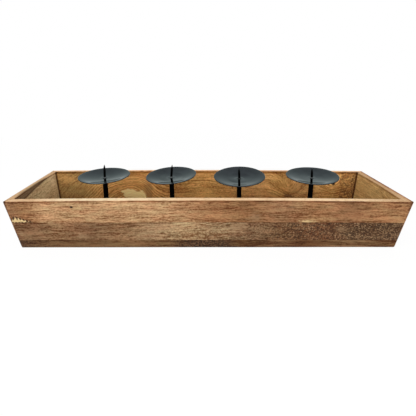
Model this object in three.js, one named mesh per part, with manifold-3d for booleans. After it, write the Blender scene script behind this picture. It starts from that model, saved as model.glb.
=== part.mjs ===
// Candle tray: a long, flared wooden tray of edge-glued strips, mitred at its corners, with four dished
// candle plates on posts. Millimetres, +Z up. The tray stands on z = 0, centred on the origin, its long
// side along X and its front towards -Y.
import * as THREE from "three";
import { mergeVertices } from "three/addons/utils/BufferGeometryUtils.js";
import Module from "manifold-3d";

const wasm = await Module();
wasm.setup();

// Tray walls
const trayLength = 600; // over the rim
const trayWidth = 145; // over the rim
const wallHeight = 82;
const flare = 10.5; // how far each wall leans out between its foot and the rim
const boardThickness = 10; // measured level across the rim
const footRound = 3.5; // rounding of the outer bottom edge
const rimEase = 1.2; // easing of both edges of the rim
const cornerRound = 1.6; // rounding of the upright outer corners, in plan
const glueLine = 0.15; // gap between glued faces

// Heights of the glue seams above the foot: the front as seen, the other walls below the part in view
const frontSeams = [14.5, 45.3];
const otherSeams = [12, 29];

// Base panel: three strips set in between the walls
const baseThickness = 12;
const baseRise = 1; // the underside lies this far above the foot of the walls
const baseMiddleWidth = 38; // the strip that carries the posts

// Posts: round bar, bored at both ends
const postRadius = 4;
const postHeight = 77;
const postEase = 0.4;
const holderPlaces = [-176, -63.5, 51.5, 173.5]; // along the tray, from its middle

// Dishes: round sheet pressed to a part of a sphere round a flat middle
const dishRadius = 42.2;
const dishDepth = 6.8; // from the flat middle up to the rim
const dishThickness = 1.2;
const landRadius = 7.5; // the flat middle

// Spikes: a round pin ground to a point, with a shoulder on the dish and a tail through it into the post
const spikeLengths = [25, 25, 19, 19]; // above the dish, as the photographed tips stand
const spikeRadius = 1.6;
const pointLength = 7; // the ground part below the tip
const spikeTipRadius = 0.25;
const shoulderRadius = 2.8;
const shoulderHeight = 0.8;
const tailRadius = 1.5;
const tailReach = 8; // how far the tail goes down the post

// Countersunk screws up through the base into the posts
const screwLength = 20;
const screwRadius = 2;
const headRadius = 4;
const headHeight = 2.4;
const headEdge = 0.4; // upright edge of the head
const headRecess = 0.4; // the head lies this far inside the base
const crossLength = 4.4;
const crossWidth = 0.9;
const crossDepth = 1.4;

// Running and seating clearances, on the radius or at the end of a bore
const holeClearance = 0.25;
const boreClearance = 0.15;
const boreEndClearance = 0.6;

// Steps round the curves
const dishSteps = 60;
const barSteps = 24;
const cornerSteps = 4;
const edgeSteps = 5;
const bowlSteps = 6;
const rimSteps = 4;
const quarterTurn = Math.PI / 2;
const cutMargin = 5; // how far a cutting shape runs past what it cuts

// Finishes
const paleWood = { color: 0xb88a62, roughness: 0.62, metalness: 0 };
const midWood = { color: 0x8a6244, roughness: 0.64, metalness: 0 };
const darkWood = { color: 0x71503a, roughness: 0.66, metalness: 0 };
const dishFinish = { color: 0x4c5558, roughness: 0.38, metalness: 0.35 };
const blackFinish = { color: 0x0d0d0e, roughness: 0.42, metalness: 0.3 };
const zincFinish = { color: 0xa7a9a6, roughness: 0.35, metalness: 0.85 };

const part = new THREE.Group();

function addPiece(parent, name, geometry, finish) {
  const mesh = new THREE.Mesh(geometry, new THREE.MeshStandardMaterial(finish));
  mesh.name = name;
  parent.add(mesh);
  return mesh;
}

// A geometry as a solid that can be cut and joined.
function solidOf(geometry) {
  const bare = geometry.clone();
  bare.deleteAttribute("normal");
  bare.deleteAttribute("uv");
  const merged = mergeVertices(bare);
  return new wasm.Manifold(new wasm.Mesh({
    numProp: 3,
    vertProperties: new Float32Array(merged.attributes.position.array),
    triVerts: new Uint32Array(merged.index.array),
  }));
}

function geometryOf(solid) {
  const mesh = solid.getMesh();
  const geometry = new THREE.BufferGeometry();
  geometry.setAttribute("position", new THREE.BufferAttribute(mesh.vertProperties, 3));
  geometry.setIndex(new THREE.BufferAttribute(mesh.triVerts, 1));
  geometry.computeVertexNormals();
  return geometry;
}

// A solid lofted through level outlines of equally many points, each convex and anticlockwise from above.
function loft(levels) {
  const count = levels[0].outline.length;
  const points = levels.flatMap(({ z, outline }) => outline.flatMap(([x, y]) => [x, y, z]));
  const faces = [];
  for (let k = 0; k + 1 < levels.length; k += 1) {
    for (let i = 0; i < count; i += 1) {
      const low = k * count + i;
      const lowNext = k * count + ((i + 1) % count);
      faces.push(low, lowNext, lowNext + count);
      faces.push(low, lowNext + count, low + count);
    }
  }
  const top = (levels.length - 1) * count;
  for (let i = 1; i + 1 < count; i += 1) {
    faces.push(0, i + 1, i);
    faces.push(top, top + i, top + i + 1);
  }
  const geometry = new THREE.BufferGeometry();
  geometry.setAttribute("position", new THREE.Float32BufferAttribute(points, 3));
  geometry.setIndex(faces);
  return geometry;
}

function rectangle(halfX, halfY) {
  return [[-halfX, -halfY], [halfX, -halfY], [halfX, halfY], [-halfX, halfY]];
}

function roundedRectangle(halfX, halfY, radius) {
  const points = [];
  for (let corner = 0; corner < 4; corner += 1) {
    const [signX, signY] = [[1, 1], [-1, 1], [-1, -1], [1, -1]][corner];
    for (let step = 0; step <= cornerSteps; step += 1) {
      const angle = (corner + step / cornerSteps) * quarterTurn;
      const x = signX * (halfX - radius) + radius * Math.cos(angle);
      const y = signY * (halfY - radius) + radius * Math.sin(angle);
      points.push([x, y]);
    }
  }
  return points;
}

// How far the outer face has leant in at a height, from where it stands at the rim.
function leanAt(z) {
  return flare * (1 - z / wallHeight);
}

// Outer form of the tray: flared walls, the bottom edge rounded and the rim eased, each by a quarter arc.
function trayForm() {
  const level = (z, inset) => ({
    z,
    outline: roundedRectangle(
      trayLength / 2 - leanAt(z) - inset,
      trayWidth / 2 - leanAt(z) - inset,
      cornerRound,
    ),
  });
  const levels = [];
  for (let step = 0; step <= edgeSteps; step += 1) {
    const angle = (step / edgeSteps) * quarterTurn;
    levels.push(level(footRound * (1 - Math.cos(angle)), footRound * (1 - Math.sin(angle))));
  }
  for (let step = 0; step <= 2; step += 1) {
    const angle = (step / 2) * quarterTurn;
    const z = wallHeight - rimEase * (1 - Math.sin(angle));
    levels.push(level(z, rimEase * (1 - Math.cos(angle))));
  }
  return solidOf(loft(levels));
}

// The hollow between the walls, run past the foot and the rim, with the rim's inner edge eased.
function trayHollow() {
  const level = (z, widen) => ({
    z,
    outline: rectangle(
      trayLength / 2 - leanAt(z) - boardThickness + widen,
      trayWidth / 2 - leanAt(z) - boardThickness + widen,
    ),
  });
  return solidOf(loft([
    level(-cutMargin, 0),
    level(wallHeight - rimEase, 0),
    level(wallHeight, rimEase),
    level(wallHeight + cutMargin, rimEase),
  ]));
}

// Plan of one wall's share of the tray: 45 degree mitres at both ends, half a glue line back from the
// mitre plane. It is drawn for the wall that faces -Y and given quarter turns to the others.
function wallPlan(wall) {
  const back = (glueLine / 2) * Math.SQRT2;
  const reach = flare + boardThickness + cutMargin;
  const outer = wall.along + cutMargin - back;
  const inner = wall.along - reach - back;
  let plan = [
    [-outer, -wall.across - cutMargin],
    [outer, -wall.across - cutMargin],
    [inner, reach - wall.across],
    [-inner, reach - wall.across],
  ];
  for (let turn = 0; turn < wall.turns; turn += 1) {
    plan = plan.map(([x, y]) => [-y, x]);
  }
  return plan;
}

const walls = [
  { name: "front_board", turns: 0, along: trayLength / 2, across: trayWidth / 2, seams: frontSeams },
  { name: "right_end", turns: 1, along: trayWidth / 2, across: trayLength / 2, seams: otherSeams },
  { name: "back_board", turns: 2, along: trayLength / 2, across: trayWidth / 2, seams: otherSeams },
  { name: "left_end", turns: 3, along: trayWidth / 2, across: trayLength / 2, seams: otherSeams },
];
const strips = [
  { name: "lower", finish: midWood },
  { name: "middle", finish: darkWood },
  { name: "upper", finish: paleWood },
];

// Each wall is three strips, cut from the hollowed tray at the mitres and at the seams.
function addWalls() {
  const shell = trayForm().subtract(trayHollow());
  for (const wall of walls) {
    const plan = wallPlan(wall);
    const cuts = [-cutMargin, ...wall.seams, wallHeight + cutMargin];
    strips.forEach((strip, index) => {
      const block = loft([
        { z: cuts[index] + glueLine / 2, outline: plan },
        { z: cuts[index + 1] - glueLine / 2, outline: plan },
      ]);
      const board = shell.intersect(solidOf(block));
      addPiece(part, `${wall.name}_${strip.name}`, geometryOf(board), strip.finish);
    });
  }
}

// A piece turned about its own upright axis, from [radius, height] points.
function turned(points, steps) {
  return new THREE.LatheGeometry(points.map(([r, z]) => new THREE.Vector2(r, z)), steps)
    .rotateX(quarterTurn);
}

// Clearance hole for one screw, with its countersink, measured up from the foot of the walls.
function screwHole(x) {
  const head = headRadius + holeClearance;
  const shank = screwRadius + holeClearance;
  const seat = baseRise + headRecess;
  const hole = turned([
    [0, baseRise - cutMargin],
    [head, baseRise - cutMargin],
    [head, seat + headEdge],
    [shank, seat + headHeight],
    [shank, baseRise + baseThickness + cutMargin],
    [0, baseRise + baseThickness + cutMargin],
  ], barSteps);
  return solidOf(hole.translate(x, 0, 0));
}

// The base: one panel with leaning edges, ripped into three strips, the middle one drilled for the posts.
function addBase() {
  const inset = boardThickness + glueLine;
  const level = (z) => ({
    z,
    outline: rectangle(trayLength / 2 - leanAt(z) - inset, trayWidth / 2 - leanAt(z) - inset),
  });
  const panel = solidOf(loft([level(baseRise), level(baseRise + baseThickness)]));
  const half = baseMiddleWidth / 2;
  const rips = [
    { name: "base_front", from: -trayWidth / 2, to: -half - glueLine / 2, finish: midWood },
    { name: "base_middle", from: -half + glueLine / 2, to: half - glueLine / 2, finish: paleWood },
    { name: "base_back", from: half + glueLine / 2, to: trayWidth / 2, finish: midWood },
  ];
  for (const rip of rips) {
    const plan = [
      [-trayLength / 2, rip.from],
      [trayLength / 2, rip.from],
      [trayLength / 2, rip.to],
      [-trayLength / 2, rip.to],
    ];
    const block = loft([
      { z: baseRise - cutMargin, outline: plan },
      { z: baseRise + baseThickness + cutMargin, outline: plan },
    ]);
    let board = panel.intersect(solidOf(block));
    if (rip.name === "base_middle") {
      holderPlaces.forEach((x) => {
        board = board.subtract(screwHole(x));
      });
    }
    addPiece(part, rip.name, geometryOf(board), rip.finish);
  }
}

// A post: a bar standing on z = 0, its edges eased, with a blind bore up from the foot for the screw and
// one down from the top for the spike's tail.
function post() {
  const footBore = screwRadius + boreClearance;
  const footBoreEnd = screwLength - (baseThickness - headRecess) + boreEndClearance;
  const topBore = tailRadius + boreClearance;
  const topBoreEnd = postHeight - tailReach - boreEndClearance;
  return turned([
    [0, footBoreEnd],
    [footBore, footBoreEnd],
    [footBore, 0],
    [postRadius - postEase, 0],
    [postRadius, postEase],
    [postRadius, postHeight - postEase],
    [postRadius - postEase, postHeight],
    [topBore, postHeight],
    [topBore, topBoreEnd],
    [0, topBoreEnd],
  ], barSteps);
}

// Radius of the sphere that rises by a height between two distances from its axis.
function sphereRadius(inner, outer, rise) {
  const spread = (outer ** 2 - inner ** 2 - rise ** 2) / (2 * rise);
  return Math.hypot(outer, spread);
}

// A dish with its flat middle on z = 0: out along its underside, round the rim and back down the bowl.
function dish() {
  const edge = dishThickness / 2;
  const rimCentre = dishRadius - edge;
  const inside = sphereRadius(landRadius, rimCentre, dishDepth);
  const below = inside + dishThickness;
  const rise = (r, sphere) => Math.sqrt(sphere ** 2 - landRadius ** 2) - Math.sqrt(sphere ** 2 - r ** 2);
  const radiusAt = (step) => landRadius + (step / bowlSteps) * (rimCentre - landRadius);
  const hole = tailRadius + holeClearance;
  const points = [[hole, -dishThickness]];
  for (let step = 0; step < bowlSteps; step += 2) {
    points.push([radiusAt(step), rise(radiusAt(step), below) - dishThickness]);
  }
  for (let step = 0; step <= rimSteps; step += 1) {
    const angle = (2 * step / rimSteps - 1) * quarterTurn;
    points.push([rimCentre + edge * Math.cos(angle), dishDepth - edge + edge * Math.sin(angle)]);
  }
  for (let step = bowlSteps - 1; step >= 0; step -= 1) {
    points.push([radiusAt(step), rise(radiusAt(step), inside)]);
  }
  points.push([shoulderRadius + holeClearance, 0], [hole, 0], [hole, -dishThickness]);
  return turned(points, dishSteps);
}

// A spike with its shoulder's underside on z = 0: tail, shoulder, small fillet, pin, point and blunted tip.
function spike(length) {
  const tailEnd = -dishThickness - tailReach;
  const fillet = shoulderHeight / 2;
  return turned([
    [0, tailEnd],
    [tailRadius - spikeTipRadius, tailEnd],
    [tailRadius, tailEnd + spikeTipRadius],
    [tailRadius, 0],
    [shoulderRadius, 0],
    [shoulderRadius, shoulderHeight],
    [spikeRadius + fillet, shoulderHeight],
    [spikeRadius, shoulderHeight + fillet],
    [spikeRadius, length - pointLength],
    [spikeTipRadius, length - spikeTipRadius],
    [0, length],
  ], barSteps);
}

// A countersunk screw standing on its head at z = 0, with a cross recess in the head.
function screw() {
  const body = solidOf(turned([
    [0, 0],
    [headRadius, 0],
    [headRadius, headEdge],
    [screwRadius, headHeight],
    [screwRadius, screwLength - screwRadius / 2],
    [screwRadius / 2, screwLength],
    [0, screwLength],
  ], barSteps));
  const bar = new THREE.BoxGeometry(crossLength, crossWidth, 2 * crossDepth);
  const cross = solidOf(bar).add(solidOf(bar.clone().rotateZ(quarterTurn)));
  return geometryOf(body.subtract(cross));
}

// The four candle holders, from the left: screw, post, dish and spike, each seated on the one below.
function addHolders() {
  const floor = baseRise + baseThickness;
  const land = floor + postHeight + dishThickness;
  holderPlaces.forEach((x, index) => {
    const number = index + 1;
    const holder = new THREE.Group();
    holder.position.x = x;
    part.add(holder);
    addPiece(holder, `screw_${number}`, screw(), zincFinish).position.z = baseRise + headRecess;
    addPiece(holder, `post_${number}`, post(), blackFinish).position.z = floor;
    addPiece(holder, `dish_${number}`, dish(), dishFinish).position.z = land;
    addPiece(holder, `spike_${number}`, spike(spikeLengths[index]), blackFinish).position.z = land;
  });
}

addWalls();
addBase();
addHolders();

export default part;
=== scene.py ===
import math

import bpy
import numpy as np
from mathutils import Matrix, Vector


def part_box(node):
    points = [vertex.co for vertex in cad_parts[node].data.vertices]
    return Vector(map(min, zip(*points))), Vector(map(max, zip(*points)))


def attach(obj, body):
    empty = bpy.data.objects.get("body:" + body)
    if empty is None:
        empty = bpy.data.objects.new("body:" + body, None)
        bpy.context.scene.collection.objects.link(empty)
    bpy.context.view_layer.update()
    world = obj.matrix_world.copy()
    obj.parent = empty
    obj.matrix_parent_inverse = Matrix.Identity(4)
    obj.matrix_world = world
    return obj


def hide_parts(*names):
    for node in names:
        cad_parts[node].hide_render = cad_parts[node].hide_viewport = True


# Candle tray: flared mango-wood walls of glued strips, four dished candle plates on black posts.
# Metres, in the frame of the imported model: X along the tray, front towards -Y, Z up from the table.

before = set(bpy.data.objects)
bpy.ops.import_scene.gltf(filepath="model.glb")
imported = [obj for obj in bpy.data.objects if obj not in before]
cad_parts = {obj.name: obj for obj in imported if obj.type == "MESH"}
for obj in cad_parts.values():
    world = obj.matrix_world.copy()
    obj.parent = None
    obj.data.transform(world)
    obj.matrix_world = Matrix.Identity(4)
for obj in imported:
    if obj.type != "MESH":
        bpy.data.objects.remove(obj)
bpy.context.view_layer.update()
print("frame loaded,", len(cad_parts), "nodes")

# The tray's own sizes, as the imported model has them
tray = {
    "halfLength": 0.300,
    "halfWidth": 0.0725,
    "height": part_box("front_board_upper")[1].z,
    "flare": 0.0105,
    "board": 0.010,
    "glueLine": 0.00015,
    "footRound": 0.0035,
    "rimRound": 0.0016,
    "rimInner": 0.0008,
    "seamEase": 0.00035,
    "cornerRound": 0.0025,
    # the flat faces wave by these two amounts, and stand in by a hair
    "sway": (0.00008, 0.00004),
    "standIn": 0.00012,
    # how far the back right corner stands inwards of its place: the frame is a little out of square
    "squeeze": 0.0028,
}


# Colours

def fromScreen(red, green, blue):
    # a colour as it is seen on a screen, 0 to 255, turned into the linear one that a shader takes
    screen = np.array([red, green, blue]) / 255
    linear = np.where(screen <= 0.04045, screen / 12.92, ((screen + 0.055) / 1.055) ** 2.4)
    return (*[float(value) for value in linear], 1.0)


seenTones = {
    # outer faces
    "tan": (186, 144, 105), "tanDull": (179, 139, 101),
    "warmBrown": (162, 119, 82), "warmDull": (156, 112, 76),
    "chestnut": (148, 107, 75), "chestnutDull": (138, 96, 65), "russet": (138, 97, 64),
    "straw": (180, 147, 109), "strawDull": (155, 122, 90), "oat": (148, 112, 80), "honey": (172, 126, 76),
    "greyTan": (166, 134, 100), "greyBrown": (136, 103, 75), "walnut": (125, 91, 64),
    "hazel": (119, 88, 58), "umber": (108, 80, 56), "darkUmber": (83, 58, 40), "soot": (81, 54, 36),
    "auburn": (115, 81, 54), "auburnDull": (107, 77, 50), "auburnPale": (121, 89, 60),
    # the last tone in the next row is painted shade on the front board's rounded outer corners
    "rust": (112, 78, 49), "redBrown": (110, 72, 47), "redUmber": (97, 62, 37), "burntTip": (80, 50, 33),
    # inner faces: the wood's own tones made paler as painted light for the light the inside of the tray
    # lacks; on the back wall they are darker at the far ends, where no dish shadows the wall
    "innerHoney": (210, 155, 91), "innerWheat": (212, 159, 99), "innerPale": (224, 170, 102),
    "innerAmber": (198, 144, 83), "innerDun": (157, 121, 72), "innerOlive": (214, 172, 110),
    "innerGrey": (216, 187, 140), "innerMist": (240, 214, 172),
    # the sanded rim
    "rim": (254, 219, 174), "rimPale": (255, 228, 186), "rimWarm": (246, 208, 163),
    "rimDull": (228, 188, 144), "rimFar": (222, 184, 140), "rimBack": (252, 206, 158),
    "rimEnd": (208, 168, 124), "rimRed": (186, 134, 98),
    # knots and torn wood, and small holes, whose dark tone is painted shade
    "cream": (226, 196, 142), "paleKnot": (255, 226, 156), "holeShade": (38, 22, 14),
    "tornDark": (62, 40, 25),
}
woodTones = {name: fromScreen(*seen) for name, seen in seenTones.items()}


# Node helpers

def put(tree, kind, inputs=None, **settings):
    # one new node; an input is a number, a colour or the socket that leads into it
    node = tree.nodes.new("ShaderNode" + kind)
    for name, value in settings.items():
        setattr(node, name, value)
    for name, value in (inputs or {}).items():
        if isinstance(value, bpy.types.NodeSocket):
            tree.links.new(value, node.inputs[name])
        else:
            node.inputs[name].default_value = value
    return node


def calc(tree, operation, *values, clamp=False):
    # one sum on numbers, each of them a number or a socket
    node = put(tree, "Math", dict(enumerate(values)), operation=operation, use_clamp=clamp)
    return node.outputs[0]


def less(tree, value, part):
    # the value less the part
    return calc(tree, "SUBTRACT", value, part)


def times(tree, *values):
    # the product of two or more values
    product = values[0]
    for value in values[1:]:
        product = calc(tree, "MULTIPLY", product, value)
    return product


def awayBy(tree, value, middle):
    # how far a value is from a middle, on either side
    return calc(tree, "ABSOLUTE", less(tree, value, middle))


def stirred(tree, value, layer, weight):
    # a value raised where a noise layer is over 0.5 and lowered where it is under, by this weight
    return calc(tree, "MULTIPLY_ADD", less(tree, layer, 0.5), weight, value)


def vectorMath(tree, operation, *vectors):
    # one sum on vectors
    node = put(tree, "VectorMath", dict(enumerate(vectors)), operation=operation)
    return node.outputs["Value" if operation in ("LENGTH", "DOT_PRODUCT") else "Vector"]


def fade(tree, value, start, end, low=0.0, high=1.0):
    # low at start, high at end, straight between them and flat beyond
    node = put(tree, "MapRange", {"Value": value, "From Min": start, "From Max": end,
                                  "To Min": low, "To Max": high})
    return node.outputs[0]


def blend(tree, factor, first, second, mode="MIX"):
    # first * (1 - factor) + second * factor, or first tinted by second to that share
    node = tree.nodes.new("ShaderNodeMix")
    node.data_type = "RGBA"
    node.blend_type = mode
    for socket, value in ((node.inputs[0], factor), (node.inputs[6], first), (node.inputs[7], second)):
        if isinstance(value, bpy.types.NodeSocket):
            tree.links.new(value, socket)
        else:
            socket.default_value = value
    return node.outputs[2]


def tinted(tree, colour, tint):
    # a colour times a tint, channel by channel
    return blend(tree, 1.0, colour, tint, "MULTIPLY")


def ramp(tree, factor, stops, interpolation="LINEAR"):
    # stops are (position from 0 to 1, colour or number)
    node = put(tree, "ValToRGB", {"Fac": factor})
    node.color_ramp.interpolation = interpolation
    elements = node.color_ramp.elements
    while len(elements) < len(stops):
        elements.new(0.5)
    for element, (position, colour) in zip(elements, stops):
        element.position = position
        element.color = colour if isinstance(colour, tuple) else (colour, colour, colour, 1.0)
    return node.outputs["Color"]


def emptyTree(holder):
    # the node tree of a new material or world, cleared
    holder.use_nodes = True
    holder.node_tree.nodes.clear()
    return holder.node_tree


def newMaterial(name):
    # a material with nothing but its shader, led into the output
    material = bpy.data.materials.new(name)
    tree = emptyTree(material)
    shader = put(tree, "BsdfPrincipled")
    put(tree, "OutputMaterial", {"Surface": shader.outputs["BSDF"]})
    return material, tree, shader


def connect(tree, shader, colour, rough, relief=None, strength=0.0, distance=0.0):
    # colour, roughness and relief led into the shader
    tree.links.new(colour, shader.inputs["Base Color"])
    tree.links.new(rough, shader.inputs["Roughness"])
    if relief is not None:
        bump = put(tree, "Bump", {"Height": relief, "Strength": strength, "Distance": distance})
        tree.links.new(bump.outputs["Normal"], shader.inputs["Normal"])


# Wood: one material for each board, on object coordinates

woodLayers = {
    # cells a metre along the board, through it and up it, then detail and roughness
    "slowBends": (5.0, 14.0, 16.0, 2.0, 0.5),
    "bands": (7.0, 30.0, 190.0, 3.0, 0.62),
    "streaks": (24.0, 110.0, 560.0, 3.0, 0.65),
    "flecks": (90.0, 120.0, 600.0, 2.5, 0.65),
    "fibres": (60.0, 500.0, 1000.0, 2.0, 0.65),
    "ripple": (330.0, 300.0, 520.0, 2.0, 0.6),
    "clouds": (14.0, 20.0, 40.0, 2.0, 0.5),
    "specks": (440.0, 380.0, 560.0, 1.0, 0.5),
    "quickBends": (45.0, 60.0, 80.0, 1.0, 0.5),
    "ragged": (190.0, 220.0, 270.0, 3.0, 0.6),
    "hues": (40.0, 40.0, 130.0, 3.0, 0.65),
    "pores": (150.0, 800.0, 1300.0, 1.0, 0.5),
    "arrisGaps": (18.0, 0.0, 0.0, 2.0, 0.6),
}
woodFigure = {
    "contrast": 2.0,
    "spaltCells": (300.0, 300.0, 400.0),
    # what each of these multiplies the colour by
    "darkStreak": (0.43, 0.31, 0.24, 1.0),
    "lightStreak": (1.45, 1.58, 1.66, 1.0),
    "pinkish": (1.05, 0.975, 0.94, 1.0),
    "greenish": (0.955, 1.02, 0.985, 1.0),
    "pore": (0.34, 0.26, 0.21, 1.0),
    # the next one darkens the inner corners with painted shade
    "cornerShade": (0.26, 0.18, 0.14, 1.0),
    # depths under the outer face between which the inner face's tones, made paler with painted light, and its
    # marks come in
    "innerDepth": (0.004, 0.006),
    "rimHeight": 0.0015,
    "gloss": 0.12,
    "reliefHeight": 0.00035,
}


def stretch(tree, board, cells, level="up"):
    # one position made into a texture position: each axis times its own number of cells a metre
    return put(tree, "CombineXYZ", {
        "X": times(tree, board["along"], cells[0]),
        "Y": times(tree, board["outward"], cells[1]),
        "Z": times(tree, board[level], cells[2]),
    }).outputs[0]


def boardNoise(tree, board, layer, level="up"):
    # noise stretched along the board, laid out by height in the board or by height in the grain; its
    # seed is the board's plus the layer's place in the list
    *cells, detail, roughness = woodLayers[layer]
    node = put(tree, "TexNoise", {"Vector": stretch(tree, board, cells, level), "Scale": 1.0,
                                  "W": board["seed"] + list(woodLayers).index(layer),
                                  "Detail": detail, "Roughness": roughness}, noise_dimensions="4D")
    return node.outputs["Fac"]


def rampAlong(tree, board, stops, interpolation="EASE"):
    # tones or numbers that change along a board, or one tone for all of it; stops are in metres
    if isinstance(stops, str):
        return woodTones[stops]
    stops = [((x / board["reach"] + 1) / 2, woodTones.get(kind, kind)) for x, kind in stops]
    return ramp(tree, board["share"], stops, interpolation)


def placeIn(tree, look):
    # Where a point lies in its board: along it, out through it and up it, the squeeze and the camber
    # taken out again, its depth under the outer face, which leans out by flare * up / height, and
    # its share of the way from one end to the other.
    spots = put(tree, "SeparateXYZ", {"Vector": put(tree, "TexCoord").outputs["Object"]}).outputs
    axes = {letter: spots[letter] for letter in "XYZ"}
    backShare = calc(tree, "MULTIPLY_ADD", axes["Y"], 0.5 / tray["halfWidth"], 0.5)
    rightShare = times(tree, calc(tree, "MAXIMUM", axes["X"], 0.0), tray["squeeze"] / tray["halfLength"])
    axes["X"] = calc(tree, "MULTIPLY_ADD", backShare, rightShare, axes["X"])
    along, outward, up = [axes[letter] for letter in look["axes"]]
    outward = times(tree, outward, look["outSign"])
    if look["arch"]:
        share = calc(tree, "DIVIDE", along, look["reach"])
        arch = calc(tree, "MULTIPLY_ADD", times(tree, share, share), -look["arch"], 1 + look["arch"])
        up = calc(tree, "DIVIDE", up, arch)
    faceAt = calc(tree, "MULTIPLY_ADD", up, tray["flare"] / tray["height"], look["outReach"] - tray["flare"])
    return {"along": along, "outward": outward, "up": up, "depth": less(tree, faceAt, outward),
            "share": fade(tree, along, -look["reach"], look["reach"])}


def awayFrom(tree, board, middle, size):
    # the place relative to a mark's middle, in mark sizes
    return put(tree, "CombineXYZ", {
        "X": calc(tree, "DIVIDE", less(tree, board["along"], middle[0]), size[0]),
        "Y": calc(tree, "DIVIDE", less(tree, board["up"], middle[1]), size[1]),
    }).outputs[0]


def grainHeight(tree, board):
    # The grain is a contour map. Height in the board, lifted round each knot or cathedral by a
    # bell curve and stirred by slow and quick noise, gives lines that run along it and bend.
    grain = stirred(tree, board["up"], boardNoise(tree, board, "slowBends"), board["waviness"])
    grain = stirred(tree, grain, boardNoise(tree, board, "quickBends"), board["curl"])
    for swell in board["swells"]:
        offset = awayFrom(tree, board, swell["at"], swell["size"])
        if "skew" in swell:
            # beyond its middle the bell falls off sooner, by this share
            beyond = vectorMath(tree, "MAXIMUM", offset, (0, 0, 0))
            sooner = vectorMath(tree, "MULTIPLY", beyond, (swell["skew"], 0, 0))
            offset = vectorMath(tree, "ADD", offset, sooner)
        square = vectorMath(tree, "DOT_PRODUCT", offset, offset)
        bell = calc(tree, "POWER", math.e, times(tree, square, -1.0))
        grain = calc(tree, "MULTIPLY_ADD", bell, swell["lift"], grain)
    return grain


def woodMaterial(name, look):
    # Layers of stretched noise on the grain height, each about 0.5, add up to one value. Below 0.5
    # it darkens the board's tone towards a reddish brown, above it lightens towards a paler tan.
    material, tree, shader = newMaterial(name)
    board = dict(look, **placeIn(tree, look))
    board["grain"] = grainHeight(tree, board)
    layers = {"ragged": boardNoise(tree, board, "ragged")}
    value = 0.5
    for layer in ("bands", "streaks", "flecks", "fibres", "ripple", "clouds"):
        level = "up" if layer == "clouds" else "grain"
        layers[layer] = boardNoise(tree, board, layer, level)
        value = stirred(tree, value, layers[layer], board[layer] * woodFigure["contrast"])
    if "rings" in board:
        value = cutRings(tree, board, layers["bands"], value)

    tone = rampAlong(tree, board, board["tones"])
    # the inner faces take paler tones: their own colour, and painted light for the light the inside of the
    # tray lacks
    if "innerLitTones" in board:
        inner = fade(tree, board["depth"], *woodFigure["innerDepth"])
        tone = blend(tree, inner, tone, rampAlong(tree, board, board["innerLitTones"]))
    low = calc(tree, "MULTIPLY", value, 2.0, clamp=True)
    high = calc(tree, "MULTIPLY_ADD", value, 2.0, -1.0, clamp=True)
    colour = blend(tree, low, tinted(tree, tone, woodFigure["darkStreak"]), tone)
    colour = blend(tree, high, colour, tinted(tree, tone, woodFigure["lightStreak"]))

    # patches that lean to pink or to olive
    hues = boardNoise(tree, board, "hues")
    tint = ramp(tree, hues, [(0.38, woodFigure["greenish"]), (0.62, woodFigure["pinkish"])])
    colour = blend(tree, board["tint"], colour, tint, "MULTIPLY")
    if "mottle" in board:
        colour = addSpalting(tree, board, layers["ragged"], colour)

    # pores: short dark dashes along the grain
    pores = fade(tree, boardNoise(tree, board, "pores", "grain"), 0.58, 0.66)
    colour = blend(tree, times(tree, pores, board["pores"]), colour, tinted(tree, colour, woodFigure["pore"]))

    for mark in board["marks"]:
        colour = addMark(tree, board, mark, layers, colour)
    if "tornPatch" in board:
        colour = addTornPatch(tree, board, board["tornPatch"], layers["ragged"], colour)
    if "wedge" in board:
        colour = addWedge(tree, board, board["wedge"], layers["streaks"], colour)
    # painted shade along the inner corners
    if "cornerIn" in board:
        colour = addCornerShade(tree, board, colour)
    for arris in board["arris"]:
        colour = addArris(tree, board, arris, colour)
    if "rimTones" in board:
        colour = addRim(tree, board, value, colour)

    rough = fade(tree, value, 0.1, 0.9, board["roughness"] + 0.10, board["roughness"] - 0.08)
    relief = calc(tree, "MULTIPLY_ADD", layers["fibres"], 0.6, times(tree, layers["flecks"], 0.8))
    relief = less(tree, relief, times(tree, pores, 0.7))
    connect(tree, shader, colour, rough, relief, 0.5, woodFigure["reliefHeight"])
    shader.inputs["Specular IOR Level"].default_value = woodFigure["gloss"]
    return material


def cutRings(tree, board, bands, value):
    # growth rings: thin dark lines at equal steps of the grain height, strong in some places
    rings = board["rings"]
    wave = calc(tree, "PINGPONG", calc(tree, "ADD", board["grain"], 1.0), rings["pitch"] / 2)
    line = fade(tree, wave, 0.0, 0.30 * rings["pitch"], 1.0, -0.35)
    strength = times(tree, fade(tree, bands, 0.40, 0.52), rings["strength"])
    if "along" in rings:
        strength = times(tree, strength, rampAlong(tree, board, rings["along"]))
    return less(tree, value, times(tree, line, strength))


def addSpalting(tree, board, ragged, colour):
    # dark blotches with pale flecks between them, then small dots of both, in the cells of a
    # Voronoi pattern, all as strong as the board's mottle says
    strength = rampAlong(tree, board, board["mottle"])
    specks = boardNoise(tree, board, "specks")
    blotches = times(tree, fade(tree, specks, 0.53, 0.43), strength)
    flecks = times(tree, fade(tree, specks, 0.53, 0.62), strength,
                   fade(tree, ragged, 0.46, 0.56, 0.0, board["pale"]))
    corners = stretch(tree, board, woodFigure["spaltCells"])
    cells = put(tree, "TexVoronoi", {"Vector": corners, "Scale": 1.0}).outputs
    dots = times(tree, fade(tree, cells["Distance"], 0.50, 0.28), strength)
    kind = put(tree, "SeparateColor", {"Color": cells["Color"]}).outputs[0]
    darkDots = times(tree, dots, fade(tree, kind, 0.44, 0.36))
    paleDots = times(tree, dots, fade(tree, kind, 0.74, 0.84, 0.0, board["pale"]))
    for spots, tone in ((blotches, board["blotch"]), (flecks, woodTones["greyTan"]),
                        (darkDots, board["blotch"]), (paleDots, woodTones["greyTan"])):
        colour = blend(tree, spots, colour, tone)
    return colour


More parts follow.
